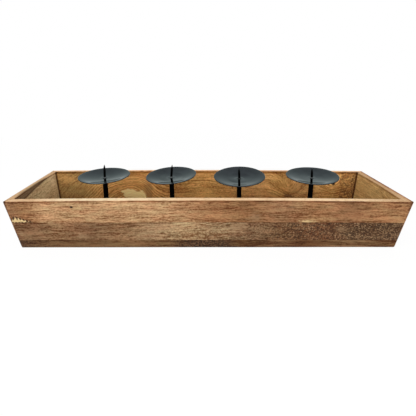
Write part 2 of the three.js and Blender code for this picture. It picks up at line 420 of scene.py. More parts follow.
def addMark(tree, board, mark, layers, colour):
    # A knot, pin hole or sap patch: an ellipse with a ragged edge and its own grain. A board with
    # inner tones has it on its inner face only.
    reach = vectorMath(tree, "LENGTH", awayFrom(tree, board, mark["at"], mark["size"]))
    edge = stirred(tree, reach, layers["ragged"], mark["ragged"])
    inside = fade(tree, edge, 1.0 + mark["soft"], 1.0 - mark["soft"], 0.0, mark["strength"])
    if "innerLitTones" in board:
        inside = times(tree, inside, fade(tree, board["depth"], *woodFigure["innerDepth"]))
    figure = ramp(tree, layers["flecks"], [(0.38, mark["low"]), (0.62, 1.14)])
    return blend(tree, inside, colour, tinted(tree, woodTones[mark["tone"]], figure))


def addTornPatch(tree, board, patch, ragged, colour):
    # Pale sapwood torn in teeth beside the glue line: inside where the height over the line is
    # less than the smaller of two slopes plus a triangle wave; the teeth have dark tips.
    along, up = board["along"], less(tree, board["up"], patch["base"])
    rise = times(tree, less(tree, along, patch["left"]), patch["riseSlope"])
    fall = times(tree, less(tree, patch["right"], along), patch["fallSlope"])
    wave = calc(tree, "PINGPONG", calc(tree, "ADD", along, 1.0), patch["pitch"] / 2)
    edge = calc(tree, "MULTIPLY_ADD", wave, patch["tooth"], calc(tree, "MINIMUM", rise, fall))
    edge = stirred(tree, edge, ragged, 0.006)
    over = less(tree, up, edge)
    nearEnd = fade(tree, along, patch["right"] + 0.004, patch["right"] - 0.002)
    pale = times(tree, fade(tree, over, 0.0003, -0.0006), fade(tree, up, 0.0010, 0.0018))
    figure = ramp(tree, ragged, [(0.40, 0.68), (0.60, 1.10)])
    colour = blend(tree, pale, colour, tinted(tree, woodTones["cream"], figure))
    tips = times(tree, fade(tree, awayBy(tree, over, 0.0012), 0.0030, 0.0018),
                 fade(tree, wave, 0.0019, 0.0009))
    dots = times(tree, fade(tree, up, 0.0026, 0.0016), fade(tree, wave, 0.0007, 0.0013))
    dark = times(tree, calc(tree, "MAXIMUM", tips, dots), nearEnd, 0.9)
    return blend(tree, dark, colour, woodTones["tornDark"])


def addWedge(tree, board, wedge, streaks, colour):
    # a darker zone over a slanting line on the inner face, darkest along the line itself
    line = calc(tree, "MULTIPLY_ADD", board["along"], wedge["slope"], wedge["middle"])
    over = less(tree, board["up"], line)
    inner = fade(tree, board["depth"], 0.004, 0.008)
    body = times(tree, fade(tree, over, -0.0006, 0.0006, 0.0, wedge["strength"]), inner)
    seam = fade(tree, calc(tree, "ABSOLUTE", over), 0.0020, 0.0006, 0.0, 0.75)
    figure = ramp(tree, streaks, [(0.38, 0.75), (0.62, 1.25)])
    colour = blend(tree, body, colour, tinted(tree, wedge["tone"], figure))
    return blend(tree, times(tree, seam, inner), colour, woodTones["darkUmber"])


def addCornerShade(tree, board, colour):
    # Painted shade gathered in the inner corners, darkest right at the corner. The corner stands at the reach
    # less the board's thickness less its lean at that height, and on the right less the neighbour's extra
    # thickness.
    ends = calc(tree, "MULTIPLY_ADD", board["up"], tray["flare"] / tray["height"],
                board["reach"] - tray["flare"] - tray["board"])
    onRight = calc(tree, "GREATER_THAN", board["along"], 0.0)
    ends = calc(tree, "MULTIPLY_ADD", onRight, -board["cornerIn"], ends)
    fromCorner = less(tree, ends, calc(tree, "ABSOLUTE", board["along"]))
    corner = times(tree, fade(tree, fromCorner, 0.0026, 0.0010, 0.0, 0.92),
                   fade(tree, board["depth"], 0.006, 0.008))
    return blend(tree, corner, colour, tinted(tree, colour, woodFigure["cornerShade"]))


def addArris(tree, board, arris, colour):
    # a thin dark line just under the rim, on the outer or the inner face, coming and going
    off = awayBy(tree, board["up"], tray["height"] - arris["below"])
    coming = boardNoise(tree, board, "arrisGaps")
    strength = times(tree, fade(tree, board["depth"], *arris["depth"]),
                     fade(tree, off, arris["half"], arris["half"] * 0.4),
                     fade(tree, coming, 0.38, 0.58, arris["least"], arris["most"]))
    return blend(tree, strength, colour, tinted(tree, colour, arris["darkening"]))


def addRim(tree, board, value, colour):
    # the sanded rim: paler, with the same grain, between two depths under the outer face
    high, thick = tray["height"], woodFigure["rimHeight"]
    onRim = times(tree, fade(tree, board["up"], high - thick, high - 0.35 * thick),
                  fade(tree, board["depth"], *board["rimFrom"]), fade(tree, board["depth"], *board["rimTo"]))
    if "rimUnderWedge" in board:
        # the dark zone over the slanting line reaches up over the inner edge, near the middle of the board
        overlay = board["rimUnderWedge"]
        off = awayBy(tree, board["along"], overlay["middle"])
        wedgeArea = times(tree, fade(tree, board["depth"], *overlay["depth"]), fade(tree, off, *overlay["half"]))
        onRim = times(tree, onRim, less(tree, 1.0, wedgeArea))
    grain = ramp(tree, value, [(0.1, (0.86, 0.80, 0.74, 1.0)), (0.5, (1.0, 1.0, 1.0, 1.0)),
                               (0.9, (1.06, 1.07, 1.08, 1.0))])
    tone = rampAlong(tree, board, board["rimTones"], "LINEAR")
    return blend(tree, onRim, colour, tinted(tree, tone, grain))


# Shapes

def boardOutline(corners, radii, arcSteps=4, spacing=0.005):
    # The section of a board: straight sides, each corner a parabola that leaves both sides at a
    # tangent. Corners run anticlockwise as (across, up); the result closes on itself.
    corners = np.array(corners, float)
    radii = np.array(radii, float)
    nextOnes = np.roll(corners, -1, axis=0)
    sides = nextOnes - corners
    lengths = np.linalg.norm(sides, axis=1, keepdims=True)
    units = sides / lengths
    leave = corners + units * radii[:, None]
    arrive = corners - np.roll(units, 1, axis=0) * radii[:, None]
    outline = []
    t = np.linspace(0, 1, arcSteps + 1)[:, None]
    for k in range(len(corners)):
        outline.append((1 - t) ** 2 * arrive[k] + 2 * t * (1 - t) * corners[k] + t ** 2 * leave[k])
        goal = arrive[(k + 1) % len(corners)]
        length = np.linalg.norm(goal - leave[k])
        # a row close to each arc keeps the flat face flat under smooth shading
        near = min(0.0004, 0.2 * length) / length
        inner = np.linspace(near, 1 - near, max(3, int(length / spacing)))[:, None]
        outline.append(leave[k] + inner * (goal - leave[k]))
    return np.concatenate(outline)


def stationsAlong(length, spacing):
    # positions from -1 to 1 along a board: close together near its ends, even between them
    ends = np.array([0.0, 0.0003, 0.0007, 0.0011, 0.0016, 0.0024, 0.0036, 0.006])
    middle = np.linspace(0.010, 2 * length - 0.010, int(2 * length / spacing))
    places = np.concatenate([ends, middle, 2 * length - ends[::-1]])
    return places / length - 1


def newObject(name, data):
    # an object of the scene that holds this mesh, lamp or camera
    held = bpy.data.objects.new(name, data)
    bpy.context.scene.collection.objects.link(held)
    return held


def addMesh(name, points, faces, material, sharp=False):
    # a piece from its points and faces, smooth all over unless it is to be sharp
    mesh = bpy.data.meshes.new(name)
    mesh.from_pydata(points.tolist(), [], faces)
    mesh.update()
    mesh.polygons.foreach_set("use_smooth", np.full(len(mesh.polygons), not sharp))
    mesh.materials.append(material)
    return newObject(name, mesh)


def pointsOf(mesh):
    # where its points are, one row for each
    places = np.empty(3 * len(mesh.vertices))
    mesh.vertices.foreach_get("co", places)
    return places.reshape(-1, 3)


def giveNumber(piece, name, values):
    # a number for each point of the piece, which its material reads
    piece.data.attributes.new(name, "FLOAT", "POINT").data.foreach_set("value", values)


def gridFaces(rows, columns, wrapRows=False):
    # quads of a grid whose points are numbered row by row; each row closes on itself
    r, c = np.meshgrid(np.arange(rows if wrapRows else rows - 1), np.arange(columns), indexing="ij")
    rNext, cNext = (r + 1) % rows, (c + 1) % columns
    quads = np.stack([r * columns + c, r * columns + cNext,
                      rNext * columns + cNext, rNext * columns + c], -1)
    return quads.reshape(-1, 4)


def outwardFaces(points, groups):
    # All faces of a closed shell, turned outwards: the pyramids from the origin to the triangles of
    # its faces must add up to a positive volume.
    total = 0.0
    for group in groups:
        for k in range(1, group.shape[1] - 1):
            total += np.einsum("ij,ij->", points[group[:, 0]],
                               np.cross(points[group[:, k]], points[group[:, k + 1]]))
    if total < 0:
        groups = [group[:, ::-1] for group in groups]
    return [face for group in groups for face in group.tolist()]


def poleFaces(rows, columns):
    # triangles from the first and the last row of a grid to the two points that follow it
    c = np.arange(columns)
    first = np.stack([(c + 1) % columns, c, np.full(columns, rows * columns)], -1)
    base = (rows - 1) * columns
    last = np.stack([base + c, base + (c + 1) % columns, np.full(columns, rows * columns + 1)], -1)
    return first, last


def squeezeAt(x, y):
    # how far a point of the frame moves towards the middle: in proportion to X, and to how far back
    return tray["squeeze"] * np.clip(x / tray["halfLength"], 0, None) * (y / tray["halfWidth"] + 1) / 2


def sweepBoard(name, outline, wall, material, seed, spacing=0.009):
    # A board: the section carried along X from one mitred end to the other, the half length being
    # the wall's reach less its distance from the outside. Its flat faces move inwards by a hair of
    # two sine waves, and its height swells by a parabola towards the middle, as the wood has moved.
    across, up = outline[:, 0], outline[:, 1]
    gap = tray["glueLine"] / 2 * math.sqrt(2)
    # the part of a thicker board that stands in from the mitre butts on its neighbour's inner face
    mitred = wall["along"] - wall["across"] - across
    half = np.maximum(mitred, wall["along"] - lean(up) - tray["board"]) - gap
    along = stationsAlong(half.mean(), spacing)[:, None] * half[None, :]
    across = np.broadcast_to(across, along.shape).copy()
    up = np.broadcast_to(up, along.shape)
    # the upright outer corner: a quarter round in plan, taken out of the face
    outer = -(wall["across"] - lean(up))
    toEnd = wall["along"] - lean(up) - np.abs(along)
    r = tray["cornerRound"]
    inset = r - np.sqrt(np.clip(r ** 2 - np.clip(r - toEnd, 0, r) ** 2, 0, None))
    deeper = np.maximum(across, outer + np.minimum(inset, r * (1 - math.sqrt(0.5))))
    across = np.where(across < outer + 0.5 * tray["board"], deeper, across)
    slow, quick = tray["sway"]
    sway = slow * np.sin(along * 23 + seed) + quick * np.sin(along * 61 + 2.3 * seed + up * 40)
    fromEnd = np.clip(toEnd / 0.03, 0, 1)
    across = across + (sway + tray["standIn"]) * fromEnd
    # an end's inner face is dished: the board thins towards mid-length and towards the rim
    inward = np.clip((across - outer) / tray["board"], 0, 1) * np.clip(up / tray["height"], 0, 1)
    across = across - wall["hollow"] * inward * (1 - (along / wall["along"]) ** 2)
    up = up * (1 + wall["camber"] / tray["height"] * (1 - (along / wall["along"]) ** 2))
    points = np.stack([along, across, up], -1)
    for turn in range(wall["turns"]):
        points = np.stack([-points[..., 1], points[..., 0], points[..., 2]], -1)
    rows, columns = points.shape[:2]
    points = points.reshape(-1, 3)
    points[:, 0] -= squeezeAt(points[:, 0], points[:, 1])
    quads = gridFaces(rows, columns)
    # end caps: a fan round the middle of each end
    centres = np.stack([points[:columns].mean(0), points[-columns:].mean(0)])
    points = np.concatenate([points, centres])
    faces = outwardFaces(points, [quads, *poleFaces(rows, columns)])
    piece = addMesh(name, points, faces, material)
    piece.data.polygons.foreach_set("use_smooth", np.arange(len(faces)) < len(quads))
    return piece


def revolve(name, profile, centre, steps, material, shape, closed=False):
    # A turned piece: the profile's (radius, height) points carried round an upright axis, then bent
    # to shape. A closed profile wraps on itself; an open one starts and ends in a pole on the axis.
    profile = np.array(profile, float)
    ring = profile if closed else profile[1:-1]
    angle = np.linspace(0, 2 * math.pi, steps, endpoint=False)
    radius, height = ring[:, 0][:, None], ring[:, 1][:, None] + 0 * angle
    points = np.stack([radius * np.cos(angle), radius * np.sin(angle), height], -1)
    rows, columns = points.shape[:2]
    groups = [gridFaces(rows, columns, wrapRows=closed)]
    points = points.reshape(-1, 3)
    if not closed:
        points = np.concatenate([points, [[0, 0, profile[0, 1]], [0, 0, profile[-1, 1]]]])
        groups.extend(poleFaces(rows, columns))
    reach = np.hypot(points[:, 0], points[:, 1])
    points = shape(points)
    piece = addMesh(name, points + np.array(centre), outwardFaces(points, groups), material)
    giveNumber(piece, "reach", reach)
    return piece


def standFor(piece, node):
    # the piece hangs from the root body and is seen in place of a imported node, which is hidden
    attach(piece, "root")
    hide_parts(node)


# Walls

def newMark(tone, at, size, ragged, soft, strength, low=0.80):
    # at and size are along and up the board; low is how dark the darkest grain in it is
    return {"tone": tone, "at": at, "size": size, "ragged": ragged, "soft": soft, "strength": strength,
            "low": low}


# the thin dark line just under the rim: how far below, how wide, how strong and how much it darkens the
# colour
darkArrisLine = {"below": 0.0024, "half": 0.0016, "least": 0.25, "most": 0.95, "darkening": (0.42, 0.27, 0.20, 1.0)}

# what a board has where its own look says nothing else; its sanded rim reaches right through it
plainLook = {
    "waviness": 0.026, "curl": 0.006, "bands": 1.0, "streaks": 0.9, "flecks": 0.8, "fibres": 0.4,
    "ripple": 0.4, "clouds": 0.8, "pores": 0.35, "roughness": 0.62, "tint": 1.0, "pale": 0.75,
    "swells": [], "marks": [], "arris": [], "rimTo": (0.040, 0.030),
}

# positions in metres along the board, from its middle, and up from the table
wallLooks = {
    "front_board_upper": {
        "seed": 3.1, "bands": 0.6, "streaks": 1.1, "fibres": 0.5, "ripple": 0.8, "clouds": 0.5,
        "roughness": 0.60, "rimFrom": (0.0003, 0.0012),
        # both ends of the rim and of the face darken to painted shade on the rounded outer corners
        "rimTones": [(-0.2975, "burntTip"), (-0.2955, "rimDull"), (-0.26, "rimDull"), (-0.21, "rimPale"),
                     (-0.13, "rimPale"), (-0.03, "rimWarm"), (0.08, "rimWarm"), (0.15, "rim"), (0.21, "rim"),
                     (0.27, "rimFar"), (0.2945, "rimFar"), (0.2965, "burntTip")],
        "tones": [(-0.2975, "burntTip"), (-0.2955, "chestnut"), (-0.272, "warmDull"), (-0.24, "tan"),
                  (-0.175, "tanDull"), (-0.12, "tan"), (-0.07, "tan"), (0.01, "warmDull"), (0.06, "russet"),
                  (0.11, "chestnut"), (0.16, "warmBrown"), (0.21, "chestnutDull"), (0.26, "warmDull"),
                  (0.2945, "warmDull"), (0.2965, "burntTip")],
        "marks": [
            newMark("cream", (-0.1960, 0.0690), (0.0090, 0.0026), 4.0, 0.6, 0.35),
            # the pin hole is a dark spot of painted shade; the board has no hole there
            newMark("holeShade", (-0.2027, 0.0718), (0.0023, 0.0019), 1.5, 0.3, 1.0),
            newMark("greyTan", (0.0686, 0.0530), (0.009, 0.006), 5.0, 0.6, 0.45),
            newMark("cream", (0.1470, 0.0472), (0.0095, 0.0018), 3.0, 0.5, 0.8),
            newMark("umber", (0.1210, 0.0705), (0.0070, 0.0013), 3.0, 0.5, 0.6),
            newMark("rust", (0.2365, 0.0690), (0.0038, 0.0024), 4.0, 0.5, 0.55),
        ],
        "tornPatch": {"base": 0.0453, "left": -0.2995, "right": -0.2650, "riseSlope": 0.85,
                      "fallSlope": 0.36, "pitch": 0.0047, "tooth": 0.7},
        "arris": [dict(darkArrisLine, depth=(0.0030, 0.0020), below=0.0016, half=0.0020)],
    },
    "front_board_middle": {
        "seed": 14.7, "waviness": 0.030, "curl": 0.010, "bands": 0.8, "streaks": 1.1, "flecks": 0.9,
        "fibres": 0.5, "ripple": 1.0, "pores": 0.45,
        "tones": [(-0.30, "walnut"), (-0.27, "walnut"), (-0.225, "oat"), (-0.18, "walnut"), (-0.13, "oat"),
                  (-0.085, "strawDull"), (-0.03, "straw"), (0.015, "greyTan"), (0.065, "greyBrown"),
                  (0.11, "auburn"), (0.155, "redBrown"), (0.18, "redBrown"), (0.22, "umber"),
                  (0.30, "umber")],
        "mottle": [(-0.30, 0.0), (-0.02, 0.2), (0.08, 0.45), (0.14, 0.80), (0.28, 0.85), (0.30, 0.4)],
        "blotch": fromScreen(62, 43, 30),
        "swells": [{"at": (0.129, 0.0285), "size": (0.018, 0.009), "lift": -0.016}],
        "rings": {"pitch": 0.0050, "strength": 0.16},
        "marks": [
            newMark("greyTan", (-0.193, 0.0210), (0.0065, 0.0040), 5.0, 0.5, 0.55),
            newMark("greyTan", (0.0440, 0.0370), (0.013, 0.0055), 6.0, 0.5, 0.7),
            newMark("greyTan", (-0.2850, 0.0260), (0.0030, 0.0030), 3.0, 0.5, 0.6),
            newMark("greyTan", (0.2015, 0.0335), (0.0070, 0.0032), 4.0, 0.6, 0.4),
        ],
    },
    "front_board_lower": {
        "seed": 27.9, "bands": 1.3, "streaks": 1.1, "fibres": 0.5, "ripple": 0.6, "clouds": 1.0, "pores": 0.4,
        "tones": [(-0.30, "darkUmber"), (-0.24, "auburnDull"), (-0.17, "auburnDull"), (-0.12, "hazel"),
                  (-0.07, "hazel"), (-0.02, "soot"), (0.02, "soot"), (0.055, "rust"), (0.10, "auburnPale"),
                  (0.15, "redUmber"), (0.21, "auburnPale"), (0.30, "rust")],
        "mottle": [(-0.30, 0.5), (-0.22, 0.1), (-0.07, 0.0), (-0.02, 1.0), (0.01, 0.9), (0.05, 0.1),
                   (0.30, 0.0)],
        "blotch": fromScreen(46, 34, 25), "pale": 0.35,
    },
    "back_board_upper": {
        "seed": 41.3, "waviness": 0.04, "bands": 0.7, "streaks": 0.6, "flecks": 0.5, "fibres": 0.3,
        "ripple": 0.7, "clouds": 0.5, "pores": 0.25, "roughness": 0.58,
        "rimTones": "rimBack", "rimFrom": (0.0, 0.0004), "rimTo": (0.0084, 0.0062),
        "tones": [(-0.30, "warmBrown"), (-0.12, "honey"), (0.08, "tan"), (0.30, "honey")],
        "innerLitTones": [(-0.30, "innerDun"), (-0.25, "innerDun"), (-0.19, "innerPale"), (-0.15, "innerHoney"),
                       (0.03, "innerHoney"), (0.09, "innerWheat"), (0.14, "innerAmber"), (0.18, "innerWheat"),
                       (0.23, "innerPale"), (0.26, "innerAmber"), (0.30, "innerDun")],
        "mottle": [(-0.30, 0.45), (-0.265, 0.35), (-0.235, 0.0), (0.250, 0.0), (0.257, 0.75),
                   (0.30, 0.75)],
        "blotch": fromScreen(88, 62, 38), "pale": 0.2,
        "swells": [{"at": (-0.144, 0.030), "size": (0.072, 0.050), "lift": -0.062, "skew": 1.0},
                   {"at": (-0.308, 0.024), "size": (0.066, 0.075), "lift": 0.058},
                   {"at": (0.154, 0.048), "size": (0.025, 0.028), "lift": 0.022},
                   {"at": (0.239, 0.058), "size": (0.020, 0.016), "lift": 0.016}],
        "rings": {"pitch": 0.0062, "strength": 0.50,
                  "along": [(-0.30, 0.2), (-0.25, 0.4), (-0.21, 0.9), (-0.09, 1.0), (-0.05, 0.2),
                            (0.10, 0.2), (0.12, 0.4), (0.19, 0.4), (0.22, 0.6), (0.30, 0.6)]},
        "marks": [
            newMark("umber", (-0.1145, 0.0490), (0.0060, 0.0160), 4.0, 0.6, 0.5),
            newMark("paleKnot", (-0.1500, 0.0400), (0.0130, 0.0092), 1.0, 0.10, 1.0, low=0.88),
            newMark("paleKnot", (-0.1320, 0.0365), (0.0122, 0.0088), 1.0, 0.10, 1.0, low=0.88),
            newMark("paleKnot", (-0.1590, 0.0440), (0.0085, 0.0030), 1.0, 0.15, 1.0, low=0.88),
            newMark("innerPale", (-0.2720, 0.0700), (0.0170, 0.0080), 5.0, 0.6, 0.45),
            # the worm hole is a dark spot of painted shade; the board has no hole there
            newMark("holeShade", (0.2418, 0.0592), (0.0032, 0.0026), 1.5, 0.3, 1.0),
            newMark("darkUmber", (0.1548, 0.0369), (0.007, 0.0030), 5.0, 0.4, 0.7),
        ],
        "arris": [dict(darkArrisLine, depth=(0.0064, 0.0082), below=0.0012, half=0.0036, least=0.75, most=1.0,
                       darkening=(0.50, 0.38, 0.26, 1.0))],
    },
    "back_board_middle": {
        "seed": 52.8, "bands": 1.1, "roughness": 0.60,
        "tones": [(-0.30, "warmBrown"), (-0.05, "honey"), (0.10, "russet"), (0.30, "warmBrown")],
    },
    "back_board_lower": {
        "seed": 63.2, "tones": [(-0.30, "greyBrown"), (0.02, "umber"), (0.16, "greyBrown"), (0.30, "russet")],
    },
    "left_end_upper": {
        "seed": 71.5, "waviness": 0.014, "bands": 0.4, "streaks": 0.35, "flecks": 0.6, "ripple": 0.7,
        "clouds": 0.6, "roughness": 0.60, "tint": 0.5,
        "rimTones": "rimEnd", "rimFrom": (0.0006, 0.0014),
        "rimUnderWedge": {"middle": -0.010, "half": (0.048, 0.024), "depth": (0.0042, 0.0056)},
        "tones": [(-0.07, "warmBrown"), (0.07, "tan")], "innerLitTones": "innerGrey",
        "marks": [newMark("innerMist", (0.0470, 0.0710), (0.0090, 0.0090), 5.0, 0.6, 0.5)],
        "wedge": {"slope": 0.130, "middle": 0.0767, "strength": 0.9, "tone": fromScreen(118, 91, 64)},
        "arris": [dict(darkArrisLine, depth=(0.0030, 0.0020)),
                  dict(darkArrisLine, depth=(0.0070, 0.0085), below=0.0018, half=0.0014, least=0.6)],
    },
    "left_end_middle": {"seed": 82.4, "tones": [(-0.07, "greyBrown"), (0.07, "warmBrown")]},
    "left_end_lower": {"seed": 93.9, "tones": [(-0.07, "umber"), (0.07, "greyBrown")]},
    "right_end_upper": {
        "seed": 104.6, "waviness": 0.014, "bands": 0.35, "streaks": 0.3, "flecks": 0.5, "clouds": 0.3,
        "roughness": 0.60, "tint": 0.6,
        "rimTones": "rimEnd", "rimFrom": (0.0042, 0.0060), "tones": "rimRed", "innerLitTones": "innerOlive",
        "arris": [dict(darkArrisLine, depth=(0.0024, 0.0012), below=0.0006, half=0.0030, least=0.5),
                  dict(darkArrisLine, depth=(0.0070, 0.0085), most=0.8)],
    },
    "right_end_middle": {"seed": 115.2, "tones": [(-0.07, "umber"), (0.07, "warmBrown")]},
    "right_end_lower": {"seed": 126.7, "tones": [(-0.07, "warmBrown"), (0.07, "umber")]},
}

# Turns are quarter turns from the front. The front and back rims stand a little higher at mid-span
# than at the corners, the front board has been planed a little thinner, and the right end was cut
# from thicker stuff.
wallSides = {
    "front_board": {"turns": 0, "outSign": -1.0, "planed": 0.0006, "camber": 0.0024, "hollow": 0.0},
    "right_end": {"turns": 1, "outSign": 1.0, "planed": -0.0033, "camber": 0.0, "hollow": 0.0030},
    "back_board": {"turns": 2, "outSign": 1.0, "planed": 0.0, "camber": 0.0020, "hollow": 0.0},
    "left_end": {"turns": 3, "outSign": -1.0, "planed": 0.0, "camber": 0.0, "hollow": 0.0022},
}
for wall in wallSides.values():
    sizes = [tray["halfLength"], tray["halfWidth"]]
    isEnd = wall["turns"] % 2
    wall.update(along=sizes[isEnd], across=sizes[1 - isEnd], axes=("XYZ", "YXZ")[isEnd])


def lean(z):
    # how far a wall's outer face has leant in at a height
    return tray["flare"] * (1 - z / tray["height"])


def addWallStrip(side, strip):
    # One glued strip of a wall: its section is a parallelogram between two heights, the outer side
    # on the leaning face, with a rounded foot at the bottom of the wall and an eased rim on top.
    node = f"{side}_{strip}"
    wall = wallSides[side]
    low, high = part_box(node)[0].z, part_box(node)[1].z
    outer = [-(wall["across"] - lean(z)) for z in (low, high)]
    board = tray["board"] - wall["planed"]
    corners = [(outer[0], low), (outer[0] + board, low), (outer[1] + board, high), (outer[1], high)]
    radii = [tray["seamEase"]] * 4
    if strip == "lower":
        radii[0] = tray["footRound"]
    if strip == "upper":
        radii[2:] = [tray["rimInner"], tray["rimRound"]]
    look = dict(plainLook, **wallLooks[node])
    look.update(axes=wall["axes"], outSign=wall["outSign"], reach=wall["along"], outReach=wall["across"],
                arch=wall["camber"] / tray["height"],
                cornerIn=0.0 if wall["turns"] % 2 else -wallSides["right_end"]["planed"])
    piece = sweepBoard(node + "_board", boardOutline(corners, radii), wall,
                       woodMaterial(node + "_wood", look), look["seed"])
    standFor(piece, node)


for side in wallSides:
    for strip in ("lower", "middle", "upper"):
        addWallStrip(side, strip)
print("walls made")


# Base strips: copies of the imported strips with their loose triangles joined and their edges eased

baseStrip = {"lastScrew": 0.200, "end": 0.281, "endInset": 0.0035, "edge": 0.0004}
baseLook = dict(plainLook, seed=140.1, roughness=0.64, axes="XZY", outSign=1.0, reach=0.28, outReach=0.013,
                arch=0.0, tones=[(-0.28, "warmBrown"), (-0.05, "tan"), (0.12, "honey"), (0.28, "warmBrown")])


def drawIn(mesh):
    # the right end of a strip, beyond the last screw, drawn in to meet the thicker end board: more
    # the nearer to its end, and with the squeeze of the frame
    places = pointsOf(mesh)
    start, end = baseStrip["lastScrew"], baseStrip["end"]
    share = np.clip((places[:, 0] - start) / (end - start), 0, 1)
    places[:, 0] -= share * (baseStrip["endInset"] + squeezeAt(places[:, 0], places[:, 1]))
    mesh.vertices.foreach_set("co", places.ravel())


def easedCopy(node, name, material, width, reshape=None):
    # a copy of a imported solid, welded, with a bevel of this width on its edges
    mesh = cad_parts[node].data.copy()
    mesh.name = name
    if reshape:
        reshape(mesh)
    mesh.materials.clear()
    mesh.materials.append(material)
    piece = newObject(name, mesh)
    weld = piece.modifiers.new("weld", "WELD")
    weld.merge_threshold = 0.00001
    bevel = piece.modifiers.new("ease", "BEVEL")
    bevel.width = width
    bevel.segments = 2
    bevel.limit_method = "ANGLE"
    bevel.angle_limit = math.radians(25)
    return piece


for index, node in enumerate(("base_front", "base_middle", "base_back")):
    look = dict(baseLook, seed=baseLook["seed"] + 11.3 * index)
    strip = easedCopy(node, node + "_strip", woodMaterial(node + "_wood", look), baseStrip["edge"], drawIn)
    standFor(strip, node)
print("base made")


# Metal finishes

# the last colour, the pale ring round each dish's flat middle, is a painted highlight
dishLacquer = {"colour": fromScreen(49, 52, 56), "edge": (0.69, 0.75, 0.74, 1.0), "roughness": 0.045,
               "mottle": 0.015, "overlay": fromScreen(100, 106, 108)}
# the last colour, round the foot of each pin, is bare metal and a painted highlight
blackLacquer = {"colour": fromScreen(2, 2, 2), "roughness": 0.50, "specular": 0.04,
                "bare": fromScreen(96, 100, 101)}
zincPlate = {"colour": fromScreen(176, 176, 172), "roughness": 0.34}


def fineNoise(tree, scale, detail=3.0, roughness=0.6):
    # even noise, with this many cells a metre
    place = put(tree, "TexCoord").outputs["Object"]
    node = put(tree, "TexNoise", {"Vector": place, "Scale": scale, "Detail": detail, "Roughness": roughness})
    return node.outputs["Fac"]


def attribute(tree, name):
    # a number that each point of the mesh carries
    return put(tree, "Attribute", attribute_name=name).outputs["Fac"]


def scaled(colour, share):
    # a colour this many times as bright
    return tuple(share * value for value in colour[:3]) + (1.0,)


def dishMaterial():
    # dark lacquer: cloudy roughness, a faint orange-peel skin, and a painted highlight: a paler ring round
    # the flat middle, where the crease catches light
    material, tree, shader = newMaterial("dish_lacquer")
    clouds = fineNoise(tree, 60.0)
    peel = fineNoise(tree, 900.0, 2.0, 0.5)
    grit = fineNoise(tree, 260.0, 2.0)
    base, rough, mottle = dishLacquer["colour"], dishLacquer["roughness"], dishLacquer["mottle"]
    colour = ramp(tree, clouds, [(0.35, scaled(base, 0.86)), (0.65, scaled(base, 1.16))])
    # a painted highlight: the pale ring round the flat middle
    fromRing = awayBy(tree, attribute(tree, "reach"), dish["land"])
    ringGlint = times(tree, fade(tree, fromRing, 0.0012, 0.0003), fade(tree, grit, 0.47, 0.60, 0.0, 0.55))
    colour = blend(tree, ringGlint, colour, dishLacquer["overlay"])
    cloudy = fade(tree, clouds, 0.3, 0.7, rough - mottle, rough + mottle)
    connect(tree, shader, colour, cloudy, peel, 0.02, 0.0001)
    shader.inputs["Metallic"].default_value = 1.0
    shader.inputs["Specular Tint"].default_value = dishLacquer["edge"]
    return material


def blackMaterial():
    # satin black over slightly rough steel, paler round the foot of a pin: bare metal there, with a painted
    # highlight for the shoulder's glint
    material, tree, shader = newMaterial("black_lacquer")
    skin = fineNoise(tree, 700.0)
    base, rough = blackLacquer["colour"], blackLacquer["roughness"]
    colour = ramp(tree, skin, [(0.35, base), (0.75, scaled(base, 1.8))])
    bare = times(tree, attribute(tree, "bare"), fade(tree, skin, 0.35, 0.55, 0.6, 1.0))
    colour = blend(tree, bare, colour, blackLacquer["bare"])
    connect(tree, shader, colour, fade(tree, skin, 0.0, 1.0, rough - 0.08, rough + 0.12), skin, 0.2, 0.0001)
    shader.inputs["Specular IOR Level"].default_value = blackLacquer["specular"]
    return material


def zincMaterial():
    # bright plating with stains in it
    material, tree, shader = newMaterial("zinc_plate")
    stain = fineNoise(tree, 400.0)
    base, rough = zincPlate["colour"], zincPlate["roughness"]
    colour = ramp(tree, stain, [(0.35, scaled(base, 0.7)), (0.7, base)])
    connect(tree, shader, colour, fade(tree, stain, 0.0, 1.0, rough, rough + 0.2))
    shader.inputs["Metallic"].default_value = 0.9
    return material


# Candle holders

dish = {"radius": 0.0422, "depth": 0.0050, "thickness": 0.0012, "land": 0.0075, "hole": 0.00175,
        "warp": 0.00012, "bowlSteps": 40,
        # the bowl's slope falls to this share of its full slope over the last part of its width
        "lipShare": 0.45, "lipWidth": 0.0085,
        # how much each plate slopes along X and along Y, pushed a little out of true by use
        "slopes": [(0.004, -0.004), (0.057, 0.0225), (0.041, 0.064), (0.038, 0.014)],
        # how far each one stands off its place, along X and up, and its size beside the usual one
        "shifts": [0.0005, -0.0002, -0.0005, 0.0003],
        "lifts": [0.0018, 0.0026, 0.0008, 0.0021],
        "sizes": [0.982, 0.990, 1.018, 1.013]}
post = {"radius": 0.004, "ease": 0.0004, "footBore": 0.00215, "topBore": 0.00165, "footDepth": 0.0090,
        "topDepth": 0.0086,
        # how far each foot stands off its place along X
        "footShifts": [0.0, 0.0018, 0.0006, 0.0]}
spike = {"radius": 0.0019, "tip": 0.00025, "point": 0.0070, "shoulder": 0.0028, "shoulderHeight": 0.0008,
         "tail": 0.0015, "tailReach": 0.0080, "bareTo": [0.0018, 0.0018, 0.0008, 0.0014],
         # how far each tip stands off its place along X
         "tips": [0.0014, 0.0017, -0.0015, -0.0006]}


